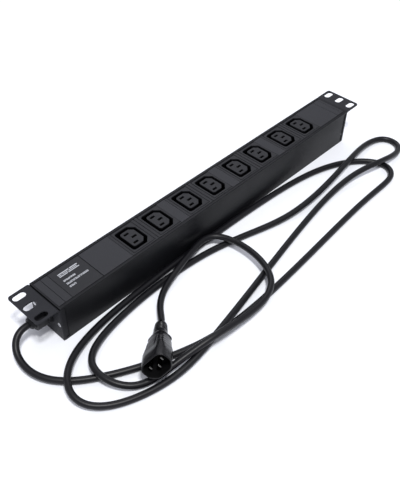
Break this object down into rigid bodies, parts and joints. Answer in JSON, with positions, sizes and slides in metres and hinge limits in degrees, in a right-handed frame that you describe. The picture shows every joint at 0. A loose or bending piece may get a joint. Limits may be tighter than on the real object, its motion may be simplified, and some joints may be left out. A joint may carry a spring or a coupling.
{
  "type": "rack power strip",
  "caption": "Horizontal rack-mount power strip: dark aluminium extrusion with shrouded outlets, slotted ears and a corded appliance plug.",
  "frame": {"origin": "centre of the body's footprint, on its base", "axes": "+X along the body away from the cable gland, +Z from the base to the outlet faces, -Y towards the side where the lead lies"},
  "size_m": [0.5262, 0.1536, 0.0431],
  "materials": {
    "extrusion": "black anodised, satin",
    "liner": "ivory polyester sheet",
    "end_cap": "black moulded, matte",
    "rivet": "dull aluminium",
    "bracket": "black powder coat, fine texture",
    "screw": "bright zinc plated, cross recess",
    "face_plastic": "black moulded, satin",
    "label_panel": "black moulded, satin",
    "marking": "pale grey print, no lettering",
    "outlet_plastic": "black moulded, satin",
    "carrier": "grey-black heat-resistant moulding",
    "brass_contact": "stamped, bright",
    "tinned": "tin plated",
    "wire_brown": "brown insulation",
    "wire_blue": "blue insulation",
    "wire_green": "green and yellow insulation",
    "zinc": "zinc plated steel",
    "gland_plastic": "black nylon, satin",
    "seal": "black rubber",
    "sheath": "black flexible sheath, satin",
    "plug_moulding": "black soft moulding, satin",
    "plug_carrier": "black rigid insert",
    "plated_pin": "nickel plated brass"
  },
  "bodies": {
    "root": {"housing": "extrusion", "insulating_sheet": "liner", "end_cap_left": "end_cap", "end_cap_right": "end_cap", "cap_rivets_right": "rivet", "bracket_left": "bracket", "bracket_right": "bracket", "bracket_screws_left": "screw", "bracket_screws_right": "screw", "end_filler_left": "face_plastic", "spacer_left": "face_plastic", "label_panel": "label_panel", "label_marks": "marking", "blank_panel_left": "face_plastic", "outlet_block_1": "outlet_plastic", "outlet_block_2": "outlet_plastic", "outlet_block_3": "outlet_plastic", "outlet_block_4": "outlet_plastic", "spacer_bar_1": "face_plastic", "spacer_bar_2": "face_plastic", "spacer_bar_3": "face_plastic", "blank_panel_right": "face_plastic", "spacer_right": "face_plastic", "end_filler_right": "face_plastic", "outlet_base_1": "carrier", "outlet_base_2": "carrier", "outlet_base_3": "carrier", "outlet_base_4": "carrier", "busbar_line": "brass_contact", "busbar_neutral": "brass_contact", "busbar_earth": "brass_contact", "crimp_terminals": "tinned", "wire_line": "wire_brown", "wire_neutral": "wire_blue", "wire_earth": "wire_green", "bond_wire": "wire_green", "earth_stud": "zinc", "earth_nut": "zinc", "ring_terminal_lead": "tinned", "ring_terminal_bond": "tinned", "gland_body": "gland_plastic", "gland_locknut": "gland_plastic", "gland_seal": "seal", "gland_nut": "gland_plastic", "cord_sheath_end": "sheath", "power_cord": "sheath", "plug_strain_relief": "plug_moulding", "plug_body": "plug_moulding", "plug_shroud": "plug_moulding", "plug_insert": "plug_carrier", "plug_pin_line": "plated_pin", "plug_pin_neutral": "plated_pin", "plug_pin_earth": "plated_pin"}
  },
  "joints": []
}
